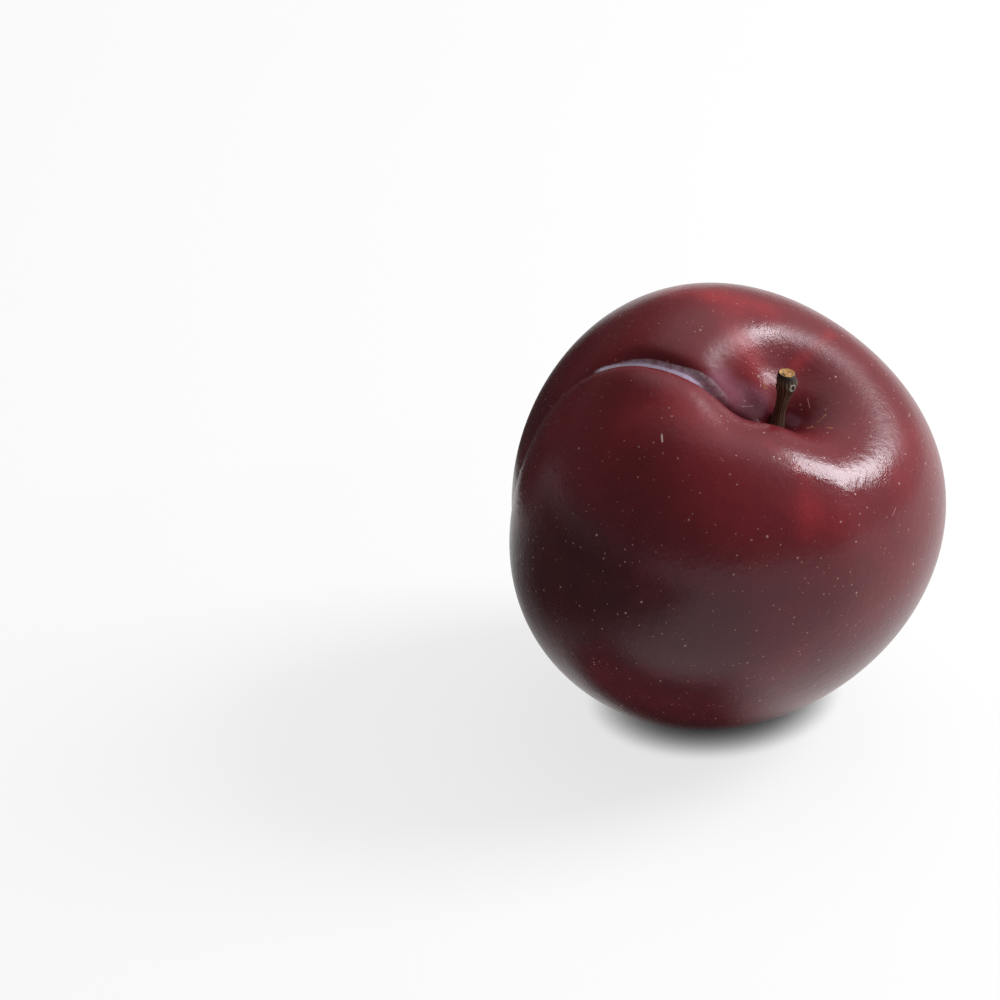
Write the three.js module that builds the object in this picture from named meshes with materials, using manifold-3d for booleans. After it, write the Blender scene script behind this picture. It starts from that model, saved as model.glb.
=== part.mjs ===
// A ripe plum as it rests on a table: the fruit, with its groove and its deep stem cavity, and the stem.
// Lengths are in millimetres and angles in radians, +Z is up, and the origin lies on the table under the
// middle of the plum. Each piece is first shaped about the fruit's own axis, which runs from the blossom
// end up to the stem, and nested groups then lean it over as it lies.
import * as THREE from "three";
import { ParametricGeometry } from "three/addons/geometries/ParametricGeometry.js";
import { mergeVertices } from "three/addons/utils/BufferGeometryUtils.js";
import Module from "manifold-3d";

const wasm = await Module();
wasm.setup();

const DEG = Math.PI / 180;

// How the fruit lies: its axis leans from upright, towards a compass angle, and is turned about itself.
const LEAN = 32.7 * DEG;
const LEAN_TOWARDS = -50.2 * DEG;
const TURN = -141.9 * DEG;

// The spot that the fruit rests on: how far below its centre the flat lies, and the height over which
// the skin rounds up from it. The centre stands over the table by that drop.
const seat = { drop: 33.8, roundOver: 0.9 };
const FRUIT_CENTRE = new THREE.Vector3(-0.64, 1.28, seat.drop);

// The round body: a mean radius, and slow waves over the angle from the stem and round the axis.
const body = {
  radius: 34.6,
  stemEnd: 0.85,
  waist: 0.25,
  corners: -0.4,
  nearLobe: 1.0,
  grooveSide: 0.75,
  slant: -0.35,
};
const threeSides = { height: 0.9, turn: -47 * DEG };

// The stem cavity: a wide bowl with a steeper funnel in it, both leaning away from the near lobe.
const cavity = {
  bowlDepth: 5.4,
  bowlSpread: 0.466,
  funnelDepth: 9.0,
  funnelSpread: 0.176,
  funnelPower: 1.385,
  lean: 0.4,
  leanFrom: 90 * DEG,
};

// The groove: a shallow valley and a narrow crease in it, on a line that bends as it runs down the side.
const groove = {
  bendFrom: 0.8,
  bend: [-0.24, 0.6, -0.15],
  valleyDepth: 2.7,
  valleyWidth: 9.0,
  valleyLeft: 0.55,
  creaseDepth: 3.6,
  creaseWidth: 1.5,
  creaseRound: 0.2,
  opensAt: 0.22,
  opensOver: 0.06,
  closesAt: 1.0,
  closesOver: 0.12,
  shareLeft: 0.12,
};
const lips = {
  height: 1.8,
  offset: 3.5,
  width: 5.4,
  at: 0.76,
  length: 0.43,
  lengthBelow: 0.31,
  farShare: 0.15,
};
// The dip of the near lip where the groove runs out into the cavity.
const dip = { depth: 3.7, turn: 21.6 * DEG, width: 0.62, at: 0.279, length: 0.18 };
// The steeper walls of the cavity, under the far lobe's rim and beside the groove.
const farWall = { depth: 1.43, turn: -65.4 * DEG, width: 0.82, at: 0.323, length: 0.106 };
const grooveWall = { depth: 1.56, turn: -7.3 * DEG, width: 0.373, at: 0.312, length: 0.123 };
const shoulderRidge = { height: 0.5, turn: 128 * DEG, width: 0.22, at: 0.72, length: 0.3 };

// The stem: its outline as radius and height over the cavity's floor, from the buried foot to the scar.
const stemOutline = [
  [0.0, -1.5],
  [1.05, -1.5],
  [1.35, -0.2],
  [1.3, 1.0],
  [1.12, 2.8],
  [0.86, 5.0],
  [0.92, 6.8],
  [1.12, 8.2],
  [1.36, 9.3],
  [1.45, 10.3],
  [1.42, 11.2],
  [1.22, 11.8],
  [0.7, 11.6],
  [0.0, 11.45],
];
const stemLean = 26.0 * DEG;
const stemTowards = -47.2 * DEG;
const stemRidges = { count: 5, depth: 0.06 };
const stemBow = { reach: 0.3, turn: -120 * DEG, middle: 8.6, span: 6.0 };
const budNub = { height: 0.4, turn: 178 * DEG, width: 0.85, at: 10.1, length: 1.1 };

// The hole in the cavity's floor that the stem's foot stands in.
const socket = { radius: 1.75, depth: 1.85, above: 5.0, sides: 24 };

const fruitMesh = { slices: 88, stacks: 46, grooveGather: 0.6, stemGather: 1.2 };
const stemMesh = { slices: 20, alongPoints: 44 };

// A hump of height 1 that falls away on both sides.
const hump = (distance, width) => Math.exp(-((distance / width) ** 2));

// The short way round from one angle to another.
const wrapped = (angle) => angle - 2 * Math.PI * Math.round(angle / (2 * Math.PI));

// A patch of height 1 about a place on the skin, an angle down from the stem and one round the axis.
const patch = (theta, phi, { turn, width, at, length }) =>
  hump(wrapped(phi - turn), width) * hump(theta - at, length);

// The angle round the axis at which the groove runs, at an angle down from the stem.
function grooveTurn(theta) {
  const t = theta - groove.bendFrom;
  return groove.bend[0] * t + groove.bend[1] * t ** 2 + groove.bend[2] * t ** 3;
}

// The distance from the fruit's centre to its skin, at an angle down from the stem and one round the axis.
function skinRadius(theta, phi) {
  const sine = Math.sin(theta);
  const round =
    body.radius +
    body.stemEnd * Math.cos(theta) +
    body.waist * Math.cos(2 * theta) +
    body.corners * Math.cos(4 * theta);
  const sides =
    threeSides.height * Math.cos(3 * (phi - threeSides.turn)) * sine ** 3 +
    (body.nearLobe * Math.sin(phi) + body.grooveSide * Math.cos(phi)) * sine ** 2 +
    body.slant * Math.sin(phi) * Math.sin(2 * theta);

  const spread = 1 - cavity.lean * Math.cos(phi - cavity.leanFrom);
  const funnel = (theta / (cavity.funnelSpread * spread)) ** cavity.funnelPower;
  const hollow =
    cavity.bowlDepth * hump(theta, cavity.bowlSpread * spread) + cavity.funnelDepth * Math.exp(-funnel);

  const across = wrapped(phi - grooveTurn(theta)) * sine * round;
  const closing = 1 / (1 + Math.exp((theta - groove.closesAt) / groove.closesOver));
  const valleyShare = groove.valleyLeft + (1 - groove.valleyLeft) * closing;
  const valley = groove.valleyDepth * valleyShare * hump(across, groove.valleyWidth) * sine;
  const lip =
    lips.height *
    (hump(across - lips.offset, lips.width) + lips.farShare * hump(across + lips.offset, lips.width)) *
    hump(theta - lips.at, theta < lips.at ? lips.length : lips.lengthBelow);
  const dipped = dip.depth * patch(theta, phi, dip);
  const walled =
    farWall.depth * patch(theta, phi, farWall) + grooveWall.depth * patch(theta, phi, grooveWall);
  const ridge = shoulderRidge.height * patch(theta, phi, shoulderRidge);

  const opening = 1 / (1 + Math.exp((groove.opensAt - theta) / groove.opensOver));
  const share = opening * (groove.shareLeft + (1 - groove.shareLeft) * closing);
  const away = Math.hypot(across / groove.creaseWidth, groove.creaseRound) - groove.creaseRound;
  const crease = groove.creaseDepth * share * Math.exp(-away);

  return round + sides - hollow - valley - dipped - walled + lip + ridge - crease;
}

// The groups that lean the fruit over: the outer one leans it, and the inner one turns it about its axis.
const leaning = new THREE.Group();
leaning.position.copy(FRUIT_CENTRE);
leaning.rotation.set(0, LEAN, LEAN_TOWARDS, "ZYX");
const turned = new THREE.Group();
turned.rotation.z = TURN;
leaning.add(turned);
leaning.updateMatrixWorld(true);
const upInFruit = new THREE.Vector3(0, 0, 1).transformDirection(turned.matrixWorld.clone().invert());

// Presses a point of the skin up where it would lie under the table, with a soft turn into the flat.
function pressOntoSeat(point) {
  const height = point.dot(upInFruit) + seat.drop;
  let lifted = 0;
  if (height >= seat.roundOver) lifted = height - seat.roundOver / 2;
  else if (height > 0) lifted = height ** 2 / (2 * seat.roundOver);
  return point.addScaledVector(upInFruit, lifted - height);
}

// A closed mesh with shared corners, from a grid whose seam and poles double them.
function closed(geometry) {
  geometry.deleteAttribute("normal");
  geometry.deleteAttribute("uv");
  const merged = mergeVertices(geometry, 1e-4);
  const corners = Array.from(merged.index.array);
  const kept = [];
  for (let i = 0; i < corners.length; i += 3) {
    const [a, b, c] = corners.slice(i, i + 3);
    if (a !== b && b !== c && c !== a) kept.push(a, b, c);
  }
  merged.setIndex(kept);
  return merged;
}

function toSolid(geometry) {
  return new wasm.Manifold(
    new wasm.Mesh({
      numProp: 3,
      vertProperties: geometry.attributes.position.array,
      triVerts: new Uint32Array(geometry.index.array),
    }),
  );
}

function toGeometry(solid) {
  const mesh = solid.getMesh();
  const geometry = new THREE.BufferGeometry();
  geometry.setAttribute("position", new THREE.BufferAttribute(mesh.vertProperties, 3));
  geometry.setIndex(new THREE.BufferAttribute(mesh.triVerts, 1));
  geometry.computeVertexNormals();
  return geometry;
}

// Where the stem stands: on the cavity's floor, leaning from the fruit's axis.
const stemFoot = new THREE.Matrix4()
  .makeRotationFromEuler(new THREE.Euler(0, stemLean, stemTowards, "ZYX"))
  .setPosition(pressOntoSeat(new THREE.Vector3(0, 0, skinRadius(0, 0))));

function fruitGeometry() {
  const skin = new ParametricGeometry(
    (u, v, target) => {
      const theta = Math.PI * v ** fruitMesh.stemGather;
      const turn = 2 * Math.PI * (1 - u);
      const phi = turn - fruitMesh.grooveGather * Math.sin(turn) + grooveTurn(theta);
      const atPole = v === 0 || v === 1;
      target.setFromSphericalCoords(skinRadius(theta, atPole ? 0 : phi), theta, phi);
      target.set(target.z, target.x, target.y);
      pressOntoSeat(target);
    },
    fruitMesh.slices,
    fruitMesh.stacks,
  );
  const hole = new THREE.CylinderGeometry(
    socket.radius,
    socket.radius,
    socket.depth + socket.above,
    socket.sides,
  );
  hole.rotateX(Math.PI / 2);
  hole.translate(0, 0, (socket.above - socket.depth) / 2);
  hole.applyMatrix4(stemFoot);
  return toGeometry(toSolid(closed(skin)).subtract(toSolid(closed(hole))));
}

// The stem is turned from its outline, then ribbed, swelled at the bud nub and bowed a little.
function stemGeometry() {
  const outline = new THREE.SplineCurve(stemOutline.map(([radius, height]) => new THREE.Vector2(radius, height)));
  const points = outline.getPoints(stemMesh.alongPoints);
  for (const point of points) point.x = Math.max(point.x, 0);
  const geometry = new THREE.LatheGeometry(points, stemMesh.slices);
  geometry.rotateX(Math.PI / 2);
  const place = geometry.attributes.position;
  for (let i = 0; i < place.count; i++) {
    const [x, y, z] = [place.getX(i), place.getY(i), place.getZ(i)];
    const turn = Math.atan2(y, x);
    const nub =
      budNub.height * hump(wrapped(turn - budNub.turn), budNub.width) * hump(z - budNub.at, budNub.length);
    const swell = 1 + stemRidges.depth * Math.cos(stemRidges.count * turn) + nub;
    const bow = z > 0 ? stemBow.reach * hump(z - stemBow.middle, stemBow.span / 2) : 0;
    place.setXYZ(i, x * swell + bow * Math.cos(stemBow.turn), y * swell + bow * Math.sin(stemBow.turn), z);
  }
  const solid = closed(geometry);
  solid.computeVertexNormals();
  return solid;
}

const fruit = new THREE.Mesh(
  fruitGeometry(),
  new THREE.MeshStandardMaterial({ color: 0x6b2a35, roughness: 0.4, metalness: 0 }),
);
fruit.name = "fruit";

const stem = new THREE.Mesh(
  stemGeometry(),
  new THREE.MeshStandardMaterial({ color: 0x4a3626, roughness: 0.75, metalness: 0 }),
);
stem.name = "stem";
stem.applyMatrix4(stemFoot);

turned.add(fruit, stem);
const plum = new THREE.Group();
plum.add(leaning);

export default plum;
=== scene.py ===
"""A ripe dark plum on a pale table: its waxy skin, its woody stem, and the soft studio light round it.

The skin is one closed surface, a radius over two angles, and the stem is an outline carried up a bowed
line. Both are worked out in millimetres about the fruit's own axis, which runs from the blossom end to the
stem, and are then leaned over as the fruit lies and written in metres.
"""

import logging
from collections.abc import Sequence
from dataclasses import dataclass, field
from enum import Enum

import bpy
import numpy as np
from mathutils import Matrix, Vector


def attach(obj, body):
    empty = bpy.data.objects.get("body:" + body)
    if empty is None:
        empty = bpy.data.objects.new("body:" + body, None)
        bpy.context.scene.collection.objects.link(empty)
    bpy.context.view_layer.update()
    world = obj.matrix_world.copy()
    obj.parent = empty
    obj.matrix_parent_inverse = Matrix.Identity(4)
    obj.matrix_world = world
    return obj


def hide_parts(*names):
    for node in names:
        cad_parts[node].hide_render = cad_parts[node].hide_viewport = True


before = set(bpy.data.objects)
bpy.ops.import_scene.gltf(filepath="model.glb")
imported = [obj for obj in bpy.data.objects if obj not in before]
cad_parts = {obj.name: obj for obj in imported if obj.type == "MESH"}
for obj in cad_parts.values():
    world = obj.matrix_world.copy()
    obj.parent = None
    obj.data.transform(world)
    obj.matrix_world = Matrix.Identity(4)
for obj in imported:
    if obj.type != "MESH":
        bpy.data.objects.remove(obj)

MM = 0.001
DEG = np.pi / 180
LOG = logging.getLogger("plum")
Array = np.ndarray
Colour = tuple[float, float, float]


def hump(distance: Array, width: Array | float) -> Array:
    """Gives exp(-(distance / width)^2), a smooth rise to 1 and back.

    Args:
        distance: How far each point is from the middle of the hump.
        width: The distance at which the hump has fallen to about a third.

    Returns:
        The height of the hump at each point.
    """
    return np.exp(-((distance / width) ** 2))


def wrapped(angle: Array) -> Array:
    """Brings angles into the half turn either side of nought.

    Args:
        angle: Angles in radians.

    Returns:
        The same directions, as angles from minus half a turn to half a turn.
    """
    return angle - 2 * np.pi * np.round(angle / (2 * np.pi))


def ramp(value: Array, low: float, high: float) -> Array:
    """Rises smoothly from 0 at low to 1 at high, as 3t^2 - 2t^3 of the share t of the way.

    Args:
        value: The numbers to weigh.
        low: The value that gives 0. It may be the larger of the two, and the ramp then falls.
        high: The value that gives 1.

    Returns:
        The ramp's height at each value.
    """
    share = np.clip((value - low) / (high - low), 0, 1)
    return share * share * (3 - 2 * share)


class Axis(Enum):
    """The axis that something is turned about."""

    Y = "Y"
    Z = "Z"


def turn_about(axis: Axis, angle: float) -> Array:
    """Gives the 3 by 3 matrix of a turn.

    Args:
        axis: The axis that it turns about.
        angle: Its angle in radians.

    Returns:
        The matrix, which stands before the points that it turns.
    """
    return np.array(Matrix.Rotation(angle, 3, axis.value))


def lean_matrix(towards: float, lean: float) -> Array:
    """Gives the turn that leans the upright axis over.

    Args:
        towards: The compass angle that it leans to, from +X towards +Y.
        lean: Its angle from upright.

    Returns:
        The 3 by 3 matrix of the turn.
    """
    return turn_about(Axis.Z, towards) @ turn_about(Axis.Y, lean)


@dataclass(frozen=True)
class Lie:
    """How the fruit lies on the table.

    Attributes:
        lean: The angle of the fruit's axis from upright.
        lean_towards: The compass angle that the axis leans to, from +X towards +Y.
        turn: The turn of the fruit about its own axis.
        centre: Where the fruit's centre stands, in millimetres.
        round_over: The height over which the skin rounds up from the flat spot, in millimetres.
    """

    lean: float = 32.7 * DEG
    lean_towards: float = -50.2 * DEG
    turn: float = -141.9 * DEG
    centre: tuple[float, float, float] = (-0.64, 1.28, 33.8)
    round_over: float = 0.9

    @property
    def matrix(self) -> Array:
        """The turn from the fruit's own axes to the table's."""
        return lean_matrix(self.lean_towards, self.lean) @ turn_about(Axis.Z, self.turn)

    @property
    def settled_centre(self) -> Array:
        """The centre of the round body once the skin has settled onto its flat spot, in millimetres."""
        return np.array(self.centre) - (0, 0, self.round_over / 2)

    def settle(self, points: Array) -> Array:
        """Leans points over and presses what would lie under the table onto it.

        With h the height over the table and b the height of the rounding, the new height is 0 under the
        table, h^2 / 2b up to b, and h - b / 2 above that.

        Args:
            points: Points about the fruit's own axis, in millimetres, with the last axis of length 3.

        Returns:
            The points on the table, in millimetres.
        """
        placed = points @ self.matrix.T + np.array(self.centre)
        height = placed[..., 2]
        eased = np.clip(height, 0, self.round_over) ** 2 / (2 * self.round_over)
        placed[..., 2] = np.where(height > self.round_over, height - self.round_over / 2, eased)
        return placed


@dataclass(frozen=True)
class Swell:
    """A smooth rise or hollow about one place of the skin.

    Attributes:
        height: How far it rises or sinks in its middle, in millimetres.
        turn: Its middle's angle round the axis.
        width: Its reach round the axis, in radians.
        at: Its middle's angle down from the stem.
        length: Its reach down from the stem, in radians.
    """

    height: float
    turn: float
    width: float
    at: float
    length: float

    def height_at(self, theta: Array, phi: Array) -> Array:
        """Gives its height in each direction, a hump over the two angles."""
        round_it = hump(wrapped(phi - self.turn), self.width)
        return self.height * round_it * hump(theta - self.at, self.length)


@dataclass(frozen=True)
class FruitForm:
    """The sizes of the fruit's body, cavity and groove, in millimetres and radians.

    Attributes:
        radius: The body's mean radius.
        stem_end: How much longer it is towards the stem than away from it.
        waist: How much longer it is along its axis than across.
        corners: How much fuller it is between its axis and its waist.
        near_lobe: How much fuller the near lobe is than the far one.
        groove_side: How much fuller it is on the groove's side.
        slant: How far the near lobe's fullness is shifted along the axis.
        three_sides: How far its three faint sides stand out, the first at three_turn.
        bowl_depth: The depth of the cavity's bowl, which spreads over bowl_spread.
        funnel_depth: The depth of the steeper funnel in it, over funnel_spread and by funnel_power.
        cavity_lean: The share by which the cavity is narrower towards cavity_lean_from.
        bend_from: The angle from the stem at which the groove's angle round the axis is nought.
        bend: The groove's turn away from there, a cubic.
        valley_depth: The depth of the groove's broad valley, which reaches over valley_width.
        valley_share_left: The share of the valley that is left where the groove has closed.
        crease_depth: The depth of the sharp crease in it, which falls away over crease_width.
        crease_round: How rounded the crease's bottom is.
        crease_opens: Where the crease begins, over crease_opens_over.
        crease_closes: Where the groove closes, over crease_closes_over.
        crease_share_left: The share of the crease that is left there.
        lip_height: The height of the near lip, at lip_offset from the groove and over lip_width.
        lip_at: Where the lip is highest, over lip_length above and lip_length_below.
        lip_share_far: The far lip's height as a share of the near one's.
        dip: The hollow where the near lip runs out into the cavity.
        far_wall: What steepens the cavity's wall under the far lobe's rim.
        groove_wall: What steepens it beside the groove.
        shoulder_ridge: The low ridge on the near shoulder.
    """

    radius: float = 34.54
    stem_end: float = 0.85
    waist: float = 0.25
    corners: float = -0.4
    near_lobe: float = 1.0
    groove_side: float = 0.75
    slant: float = -0.35
    three_sides: float = 0.9
    three_turn: float = -47 * DEG
    bowl_depth: float = 5.4
    bowl_spread: float = 0.466
    funnel_depth: float = 9.0
    funnel_spread: float = 0.176
    funnel_power: float = 1.385
    cavity_lean: float = 0.4
    cavity_lean_from: float = 90 * DEG
    bend_from: float = 0.8
    bend: tuple[float, float, float] = (-0.24, 0.6, -0.15)
    valley_depth: float = 2.7
    valley_width: float = 9.0
    valley_share_left: float = 0.55
    crease_depth: float = 3.6
    crease_width: float = 1.5
    crease_round: float = 0.2
    crease_opens: float = 0.22
    crease_opens_over: float = 0.06
    crease_closes: float = 1.0
    crease_closes_over: float = 0.12
    crease_share_left: float = 0.12
    lip_height: float = 1.8
    lip_offset: float = 3.5
    lip_width: float = 5.4
    lip_at: float = 0.76
    lip_length: float = 0.43
    lip_length_below: float = 0.31
    lip_share_far: float = 0.15
    dip: Swell = Swell(3.7, 21.6 * DEG, 0.62, 0.279, 0.18)
    far_wall: Swell = Swell(1.43, -65.4 * DEG, 0.82, 0.323, 0.106)
    groove_wall: Swell = Swell(1.56, -7.3 * DEG, 0.373, 0.312, 0.123)
    shoulder_ridge: Swell = Swell(0.5, 128 * DEG, 0.22, 0.72, 0.3)

    def groove_turn(self, theta: Array) -> Array:
        """Gives the angle round the axis at which the groove runs, a cubic in the angle from the stem."""
        t = theta - self.bend_from
        return self.bend[0] * t + self.bend[1] * t**2 + self.bend[2] * t**3

    def round_radius(self, theta: Array) -> Array:
        """Gives the body's radius before its sides, hollows and humps: a mean and three slow waves."""
        waves = self.stem_end * np.cos(theta) + self.waist * np.cos(2 * theta)
        return self.radius + waves + self.corners * np.cos(4 * theta)

    def across(self, theta: Array, phi: Array) -> Array:
        """Gives the distance along the skin from the groove's line, positive towards the near lobe."""
        return wrapped(phi - self.groove_turn(theta)) * np.sin(theta) * self.round_radius(theta)

    def hollow(self, theta: Array, phi: Array) -> Array:
        """Gives the cavity's depth, a bell-shaped bowl and a steeper funnel that both lean one way."""
        spread = 1 - self.cavity_lean * np.cos(phi - self.cavity_lean_from)
        funnel = (theta / (self.funnel_spread * spread)) ** self.funnel_power
        bowl = self.bowl_depth * hump(theta, self.bowl_spread * spread)
        return bowl + self.funnel_depth * np.exp(-funnel)

    def groove_share(self, theta: Array, left: float) -> Array:
        """Gives how much of the groove there is: all of it, down to the share left where it has closed."""
        closing = 1 / (1 + np.exp((theta - self.crease_closes) / self.crease_closes_over))
        return left + (1 - left) * closing

    def crease(self, theta: Array, across: Array) -> Array:
        """Gives the crease's depth, which falls away from its line as exp(-distance / width)."""
        opening = 1 / (1 + np.exp((self.crease_opens - theta) / self.crease_opens_over))
        share = opening * self.groove_share(theta, self.crease_share_left)
        away = np.hypot(across / self.crease_width, self.crease_round) - self.crease_round
        return self.crease_depth * share * np.exp(-away)

    def skin(self, theta: Array, phi: Array) -> Array:
        """Gives the distance from the fruit's centre to its skin.

        It is the round body and its three faint sides, less the cavity and its steeper walls under the
        far lobe's rim and beside the groove, the valley and crease of the groove, and the dip where its
        near lip runs out into the cavity, with the groove's lips and a low ridge on the shoulder.

        Args:
            theta: Angles down from the stem.
            phi: Angles round the axis, from the groove's side towards the near lobe.

        Returns:
            The radius in each direction, in millimetres.
        """
        sine = np.sin(theta)
        sides = self.three_sides * np.cos(3 * (phi - self.three_turn)) * sine**3
        sides = sides + (self.near_lobe * np.sin(phi) + self.groove_side * np.cos(phi)) * sine**2
        sides = sides + self.slant * np.sin(phi) * np.sin(2 * theta)
        across = self.across(theta, phi)
        valley = self.valley_depth * hump(across, self.valley_width) * sine
        valley = valley * self.groove_share(theta, self.valley_share_left)
        lips = hump(across - self.lip_offset, self.lip_width)
        lips = lips + self.lip_share_far * hump(across + self.lip_offset, self.lip_width)
        lip_length = np.where(theta < self.lip_at, self.lip_length, self.lip_length_below)
        lips = lips * hump(theta - self.lip_at, lip_length)
        raised = self.lip_height * lips + self.shoulder_ridge.height_at(theta, phi)
        lowered = self.hollow(theta, phi) + valley + self.crease(theta, across)
        for low in (self.dip, self.far_wall, self.groove_wall):
            lowered = lowered + low.height_at(theta, phi)
        return self.round_radius(theta) + sides + raised - lowered

    def point(self, theta: Array, phi: Array) -> Array:
        """Gives the point of the skin in each direction, about the fruit's own axis, in millimetres."""
        flat = np.sin(theta)
        way = np.stack([flat * np.cos(phi), flat * np.sin(phi), np.cos(theta) + 0 * phi], axis=-1)
        return self.skin(theta, phi)[..., None] * way


class Value:
    """A shader socket that adds its Math nodes when it is used in an expression."""

    def __init__(self, shader: "Shader", socket: bpy.types.NodeSocket) -> None:
        """Keeps the socket and the shader that it belongs to."""
        self.shader = shader
        self.socket = socket

    def sibling(self, name: str) -> "Value":
        """Gives another output of the same node."""
        return Value(self.shader, self.socket.node.outputs[name])

    def _math(self, operation: str, *terms: "Value | float") -> "Value":
        """Adds one Math node on these terms and gives its result."""
        return self.shader.node("ShaderNodeMath", {"operation": operation}, dict(enumerate(terms)))

    def __add__(self, other: "Value | float") -> "Value":
        """Adds."""
        return self._math("ADD", self, other)

    __radd__ = __add__

    def __sub__(self, other: "Value | float") -> "Value":
        """Subtracts."""
        return self._math("SUBTRACT", self, other)

    def __rsub__(self, other: float) -> "Value":
        """Subtracts this from a number."""
        return self._math("SUBTRACT", other, self)

    def __mul__(self, other: "Value | float") -> "Value":
        """Multiplies."""
        return self._math("MULTIPLY", self, other)

    __rmul__ = __mul__

    def __truediv__(self, other: "Value | float") -> "Value":
        """Divides."""
        return self._math("DIVIDE", self, other)

    def larger(self, other: "Value | float") -> "Value":
        """Gives the larger of the two."""
        return self._math("MAXIMUM", self, other)

    def smaller(self, other: "Value | float") -> "Value":
        """Gives the smaller of the two."""
        return self._math("MINIMUM", self, other)

    def step(self, low: float, high: float) -> "Value":
        """Rises smoothly from 0 at low to 1 at high, or falls where low is the larger.

        Args:
            low: The value that gives 0.
            high: The value that gives 1.

        Returns:
            The smooth step.
        """
        rises = low < high
        inputs = {
            "Value": self,
            "From Min": min(low, high),
            "From Max": max(low, high),
            "To Min": 0.0 if rises else 1.0,
            "To Max": 1.0 if rises else 0.0,
        }
        return self.shader.node("ShaderNodeMapRange", {"interpolation_type": "SMOOTHSTEP"}, inputs)


class Shader:
    """A material, or the surroundings, whose nodes are added one by one."""

    def __init__(self, owner: bpy.types.Material | bpy.types.World) -> None:
        """Empties the owner's node tree.

        Args:
            owner: The new material or world that the nodes are for.
        """
        self.owner = owner
        owner.use_nodes = True
        self.tree = owner.node_tree
        self.tree.nodes.clear()

    @classmethod
    def material(cls, name: str) -> "Shader":
        """Starts an empty material of that name."""
        return cls(bpy.data.materials.new(name))

    def node(
        self,
        kind: str,
        settings: dict | None = None,
        inputs: dict | None = None,
        out: str | int = 0,
    ) -> Value:
        """Adds one node.

        Args:
            kind: The node's type.
            settings: Its properties, which are set first.
            inputs: A value or a link for each socket, by its name, its identifier or its number.
            out: The name, identifier or number of the output that is wanted.

        Returns:
            That output, ready to be used in an expression.
        """
        node = self.tree.nodes.new(kind)
        for key, value in (settings or {}).items():
            setattr(node, key, value)
        for key, value in (inputs or {}).items():
            socket = self._find(node.inputs, key)
            if isinstance(value, Value):
                self.tree.links.new(value.socket, socket)
            else:
                socket.default_value = value
        return Value(self, self._find(node.outputs, out))

    @staticmethod
    def _find(sockets: Sequence[bpy.types.NodeSocket], key: str | int) -> bpy.types.NodeSocket:
        """Finds a socket by its number, its identifier or its name."""
        if isinstance(key, int):
            return sockets[key]
        by_identifier = [socket for socket in sockets if socket.identifier == key]
        return by_identifier[0] if by_identifier else sockets[key]

    def place(self) -> Value:
        """Gives the point's place on the piece, in metres."""
        return self.node("ShaderNodeTexCoord", out="Object")

    def attribute(self, name: str) -> Value:
        """Gives a number that the mesh holds at each of its points."""
        return self.node("ShaderNodeAttribute", {"attribute_name": name}, out="Fac")

    def scaled(self, vector: Value, scale: tuple[float, float, float]) -> Value:
        """Scales a pattern's coordinates along each axis."""
        return self.node("ShaderNodeMapping", None, {"Vector": vector, "Scale": scale})

    def noise(
        self,
        vector: Value,
        size: float,
        detail: float = 2.0,
        roughness: float = 0.5,
        warp: float = 0.0,
    ) -> Value:
        """Adds cloudy noise.

        Args:
            vector: The coordinates, in metres.
            size: The size of its clouds, in metres.
            detail: How many finer layers it has.
            roughness: How strong the finer layers are.
            warp: How far it is bent by itself.

        Returns:
            The noise, about 0.5 on average.
        """
        inputs = {
            "Vector": vector,
            "Scale": 1 / size,
            "Detail": detail,
            "Roughness": roughness,
            "Distortion": warp,
        }
        return self.node("ShaderNodeTexNoise", {"normalize": True}, inputs, "Fac")

    def distance_from_line(self, place: Value, start: Array, end: Array) -> Value:
        """Gives the distance from the straight line between two points.

        Args:
            place: The coordinates, in metres.
            start: The line's first point.
            end: Its last point.

        Returns:
            The distance, in metres.
        """
        way = end - start
        offset = self.vector("SUBTRACT", place, tuple(start))
        share = self.vector("DOT_PRODUCT", offset, tuple(way / (way @ way))).sibling("Value")
        nearest = self.vector("MULTIPLY_ADD", tuple(way), share.larger(0.0).smaller(1.0), tuple(start))
        return self.vector("DISTANCE", place, nearest).sibling("Value")

    def vector(self, operation: str, *terms: "Value | tuple[float, ...]") -> Value:
        """Adds one Vector Math node on these terms."""
        return self.node("ShaderNodeVectorMath", {"operation": operation}, dict(enumerate(terms)))

    def mix(self, share: "Value | float", first: "Value | Colour", second: "Value | Colour") -> Value:
        """Mixes two colours by a share from 0, the first, to 1, the second."""
        pair = [c if isinstance(c, Value) else (*c, 1.0) for c in (first, second)]
        inputs = {"Factor_Float": share, "A_Color": pair[0], "B_Color": pair[1]}
        return self.node("ShaderNodeMix", {"data_type": "RGBA"}, inputs, "Result_Color")

    def finish(
        self,
        surface: dict,
        height: Value | None = None,
        bump: float = 1.0,
        reach: float = MM,
    ) -> bpy.types.Material:
        """Closes the material with its surface.

        Args:
            surface: The Principled surface's inputs.
            height: The height of its fine relief, if it has one.
            bump: How strong that relief is.
            reach: What a height of 1 stands for, in metres.

        Returns:
            The finished material.
        """
        inputs = dict(surface)
        if height is not None:
            relief = {"Strength": bump, "Distance": reach, "Height": height}
            inputs["Normal"] = self.node("ShaderNodeBump", None, relief, "Normal")
        made = self.node("ShaderNodeBsdfPrincipled", None, inputs)
        self.close("ShaderNodeOutputMaterial", made)
        return self.owner

    def close(self, kind: str, surface: Value) -> None:
        """Links the surface to a new output node of that type."""
        output = self.tree.nodes.new(kind)
        self.tree.links.new(surface.socket, output.inputs["Surface"])


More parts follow.
